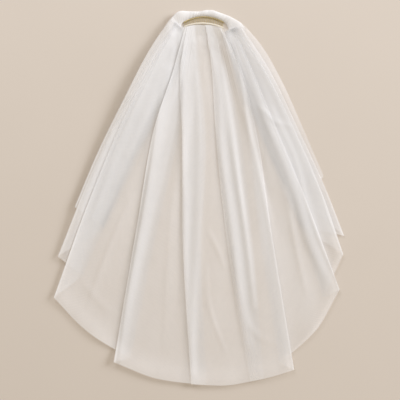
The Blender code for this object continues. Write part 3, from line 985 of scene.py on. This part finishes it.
def head_grid():
    """The net turned over above the comb in ruffles: its under face, fold and upper face."""
    shoulders = on_surface(HEAD_SHOULDERS)
    beside_comb = comb_line(-HEAD_SPARE, COMB_RISE, 0.0, HEAD_INNER_STEPS)
    outer = through(on_surface(HEAD_OUTER), HEAD_STEPS + 1)
    inner = through([shoulders[0], *beside_comb, shoulders[1]], HEAD_STEPS + 1)
    rows = []
    for step in range(HEAD_STEPS + 1):
        share = step / HEAD_STEPS
        ruffle = swing(share, HEAD_RUFFLES, RUFFLE_DRIFT * swing(share, RUFFLE_DRIFTS))
        ruffle = ruffle * (RUFFLE_KEPT + RUFFLE_SWING * swing(share, RUFFLE_SWINGS, RUFFLE_START))
        drift = HEAD_PUFF_DRIFT * swing(share, HEAD_PUFF_DRIFTS, HEAD_PUFF_START)
        puff = swing(share, HEAD_PUFFS, drift)
        ends = HEAD_END_KEPT + (1.0 - HEAD_END_KEPT) * eased(min(share, 1.0 - share) / HEAD_END)
        crest = HEAD_HEIGHT * (HEAD_END_SHARE + (1.0 - HEAD_END_SHARE) * math.sin(math.pi * share)) * ends
        row = []
        for way, rise, fullness in HEAD_PROFILE:
            plan = inner[step] + (outer[step] - inner[step]) * way
            swell = HEAD_RUFFLE * ruffle * fullness + HEAD_PUFF * puff * rise * (1.0 - fullness)
            row.append([plan[0], plan[1], HEAD_BASE + rise * crest + swell * ends])
        rows.append(row)
    return np.array(rows)


def build_head(tulle):
    """The net turned over above the comb, its ends fading into the tier."""
    grid = head_grid()
    far = np.full(grid.shape[:2], FAR_FROM_FOLD)
    steps = np.arange(HEAD_STEPS + 1)
    from_end = np.minimum(steps, HEAD_STEPS - steps) / HEAD_STEPS / HEAD_SOFT_END
    values = {"turn": far, "tuck": np.minimum(far, from_end[:, None])}
    sheet = sheet_from("head_ruche", grid, values, np.zeros(grid.shape[1], int))
    head = subdivided(sheet, HEAD_LEVELS)
    places = places_of(head)
    places[:, 2] = np.maximum(places[:, 2], HEAD_BASE) + standing_form(places)
    put_places(head, places)
    soft = np.empty(len(places))
    head.data.attributes["tuck"].data.foreach_get("value", soft)
    set_values(head, "crowd_and_highlight", HEAD_COVER * eased(soft))
    head.data.materials.append(tulle)
    return head


def tape_level():
    """The tape's middle level, just over the spine."""
    return 2.0 * SPINE_RADIUS + TAPE_GAP


def build_tape():
    """The woven tape that binds the gathered edge, a little crowned across its width."""
    middle = comb_line(TAPE_DROP, TAPE_RISE, TAPE_LEAN, TAPE_STEPS, TAPE_SPARE)
    rows = []
    for side, crown in TAPE_SECTION:
        rows.append([[x, y + side * TAPE_WIDTH, tape_level() + crown] for x, y in middle])
    grid = np.array(rows)
    tape = sheet_from("woven_tape", grid, {}, np.zeros(grid.shape[1], int))
    wall = tape.modifiers.new("wall", "SOLIDIFY")
    wall.thickness = TAPE_THICK * MM
    wall.offset = 0.0
    tape = subdivided(tape, TAPE_LEVELS)
    # Woven cotton tape: matt cream with fine ribs across it. The rib wave bumps the surface and also paints
    # the tape darker in the grooves between the ribs: painted shade.
    woven, shader = new_material("woven_cotton_tape", {"Roughness": 0.85, "Specular IOR Level": 0.25})
    cloth = add_node(woven, "ShaderNodeUVMap", {"uv_map": "cloth"}).outputs["UV"]
    # The real ribs are 0.4 mm apart; they are drawn at twice that so that they show.
    scale = math.tau / WAVE_RADIANS / (RIB_PITCH * MM)
    ribs = add_node(woven, "ShaderNodeTexWave", {"Scale": scale}, {"Vector": cloth})
    paint_between(woven, shader, ribs.outputs["Fac"], TAPE_PAINTED_GROOVE_SHADE, TAPE_CREAM)
    raise_by(woven, shader, ribs.outputs["Fac"], RIB_DEPTH)
    tape.data.materials.append(woven)
    return tape


def paint_between(material, shader, value, low, high):
    """The shader's colour runs from one hex colour to another as the value goes from nought to one."""
    ramp = add_node(material, "ShaderNodeValToRGB", {}, {"Fac": value})
    ramp.color_ramp.elements[0].color = linear(low)
    ramp.color_ramp.elements[1].color = linear(high)
    material.node_tree.links.new(ramp.outputs["Color"], shader.inputs["Base Color"])


def raise_by(material, shader, value, distance):
    """A bump from the value, its height in millimetres."""
    bump = add_node(material, "ShaderNodeBump", {"Distance": distance * MM}, {"Height": value})
    material.node_tree.links.new(bump.outputs["Normal"], shader.inputs["Normal"])


def tubes(name, paths, radius, sides, closed=False):
    """Threads along the given paths, joined in one piece."""
    curve = bpy.data.curves.new(name, "CURVE")
    curve.dimensions = "3D"
    curve.bevel_depth = radius * MM
    curve.bevel_resolution = sides // 2 - 2
    curve.use_fill_caps = not closed
    for path in paths:
        line = curve.splines.new("POLY")
        line.points.add(len(path) - 1)
        line.use_cyclic_u = closed
        for point, place in zip(line.points, path):
            point.co = (place[0] * MM, place[1] * MM, place[2] * MM, 1.0)
    holder = bpy.data.objects.new(name, curve)
    bpy.context.scene.collection.objects.link(holder)
    state = bpy.context.evaluated_depsgraph_get()
    mesh = bpy.data.meshes.new_from_object(holder.evaluated_get(state))
    bpy.data.objects.remove(holder, do_unlink=True)
    return placed(name, mesh)


def whip_stitches():
    """Short threads over the lower edge of the tape, each a low arch from the tape to the net."""
    line = comb_line(TAPE_DROP, TAPE_RISE, TAPE_LEAN, WHIP_COUNT, TAPE_SPARE + WHIP_END)
    level = tape_level() + WHIP_BASE
    paths = []
    for x, y in line:
        path = []
        for step in range(STITCH_STEPS + 1):
            share = step / STITCH_STEPS
            arch = math.sin(math.pi * share) * WHIP_ARCH
            aside = WHIP_LEAN * (share - 0.5)
            path.append((x + aside, y + WHIP_TOP - WHIP_LENGTH * share, level + arch))
        paths.append(path)
    return tubes("whip_stitches", paths, THREAD_RADIUS, STITCH_SIDES)


def comb_lashings():
    """A loop of thread round the spine between each pair of teeth."""
    roots = comb_line(0.0, COMB_RISE, 0.0, TOOTH_COUNT, END_SPARE)
    paths = []
    for first, second in zip(roots[:-1], roots[1:]):
        middle = (first + second) / 2.0
        run = (second - first) / np.linalg.norm(second - first)
        outward = np.array([-run[1], run[0]])
        loop = []
        for step in range(LASHING_STEPS):
            turn = math.tau * step / LASHING_STEPS
            aside = outward * math.cos(turn) * LASHING_RADIUS + run * LASHING_LEAN * math.sin(turn)
            level = SPINE_RADIUS + LASHING_LIFT + math.sin(turn) * LASHING_RADIUS
            loop.append((middle[0] + aside[0], middle[1] + aside[1], level))
        paths.append(loop)
    return tubes("comb_lashings", paths, THREAD_RADIUS, STITCH_SIDES, closed=True)


def thread_material():
    """Spun polyester thread: cream, matt and slightly hairy, so its tone is a little uneven."""
    made, shader = new_material("spun_polyester_thread", {"Roughness": 0.7, "Specular IOR Level": 0.3})
    where = add_node(made, "ShaderNodeTexCoord").outputs["Object"]
    grain = {"Scale": 1.0 / (FIBRE_GRAIN * MM), "Detail": 2.0}
    twist = add_node(made, "ShaderNodeTexNoise", grain, {"Vector": where})
    paint_between(made, shader, twist.outputs["Fac"], THREAD_SHADE, THREAD_CREAM)
    raise_by(made, shader, twist.outputs["Fac"], FIBRE_DEPTH)
    return made


def wire_material():
    """Gold-toned drawn steel wire: bright along its top, browner where the plating has dulled."""
    made, shader = new_material("gold_toned_drawn_wire", {"Metallic": 1.0})
    where = add_node(made, "ShaderNodeTexCoord").outputs["Object"]
    long_grain = add_node(made, "ShaderNodeMapping", {"Scale": (1.0, WIRE_DRAW, 1.0)}, {"Vector": where})
    grain = {"Scale": 1.0 / (WIRE_GRAIN * MM), "Detail": 3.0}
    drawn = add_node(made, "ShaderNodeTexNoise", grain, {"Vector": long_grain.outputs["Vector"]})
    paint_between(made, shader, drawn.outputs["Fac"], COMB_BROWN, COMB_GOLD)
    span = {"To Min": WIRE_ROUGHNESS[0], "To Max": WIRE_ROUGHNESS[1]}
    rough = add_node(made, "ShaderNodeMapRange", span, {"Value": drawn.outputs["Fac"]})
    made.node_tree.links.new(rough.outputs["Result"], shader.inputs["Roughness"])
    return made


def board_material():
    """Painted board: matt and warm, with the faint unevenness of a rolled coat."""
    made, shader = new_material("matt_painted_board", {"Roughness": 0.9, "Specular IOR Level": 0.15})
    where = add_node(made, "ShaderNodeTexCoord").outputs["Object"]
    clouds = {"Scale": COAT_CLOUDS_A_METRE, "Detail": 2.0}
    coat = add_node(made, "ShaderNodeTexNoise", clouds, {"Vector": where})
    paint_between(made, shader, coat.outputs["Fac"], FLOOR_SHADE, FLOOR_BEIGE)
    return made


def build_floor():
    """A plain pale board under the veil."""
    made = bmesh.new()
    bmesh.ops.create_grid(made, x_segments=2, y_segments=2, size=FLOOR_SIDE / 2.0)
    bmesh.ops.translate(made, verts=made.verts, vec=(0.0, 0.0, FLOOR_LEVEL))
    floor = object_from("floor", made)
    floor.data.materials.append(board_material())


def build_camera(scene):
    """A camera straight above, with the photograph's framing."""
    lens = bpy.data.cameras.new("camera")
    lens.sensor_width = SENSOR
    lens.lens = SENSOR * CAMERA_HEIGHT / FRAME_WIDTH
    camera = bpy.data.objects.new("camera", lens)
    camera.location = (*FRAME_CENTRE, CAMERA_HEIGHT)
    scene.collection.objects.link(camera)
    scene.camera = camera


def build_lights(scene):
    """Broad soft lamps from the right and from beyond the comb, and a warm even room."""
    scene.view_settings.view_transform = "Standard"
    for name, place, size, power in (
        ("window", KEY_PLACE, KEY_SIZE, KEY_POWER),
        ("skylight", TOP_PLACE, TOP_SIZE, TOP_POWER),
    ):
        lamp = bpy.data.lights.new(name, "AREA")
        lamp.shape = "DISK"
        lamp.size = size
        lamp.energy = power
        lamp.color = linear(LAMP_TINT)[:3]
        holder = bpy.data.objects.new(name, lamp)
        holder.location = place
        holder.rotation_euler = (-Vector(place)).to_track_quat("-Z", "Y").to_euler()
        scene.collection.objects.link(holder)
    world = bpy.data.worlds.new("soft_room")
    world.use_nodes = True
    room = world.node_tree.nodes["Background"]
    room.inputs["Color"].default_value = linear(ROOM_TINT)
    room.inputs["Strength"].default_value = ROOM_STRENGTH
    scene.world = world


def dress():
    """Every piece that is seen, with what it rides on and what it stands for."""
    tulle = net_material()
    thread = thread_material()
    net = build_net(tulle)
    head = build_head(tulle)
    tape = build_tape()
    stitches = whip_stitches()
    lashings = comb_lashings()
    for piece in (stitches, lashings):
        piece.data.materials.append(thread)
    for piece in (net, head, tape, stitches, lashings):
        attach(piece, "root")
    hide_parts("tulle_tier")
    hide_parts("head_gathers")
    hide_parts("binding_tape")
    wire = wire_material()
    for holder in bpy.data.objects["metal_comb"].material_slots:
        holder.material = wire


build_camera(bpy.context.scene)
build_lights(bpy.context.scene)
build_floor()
dress()
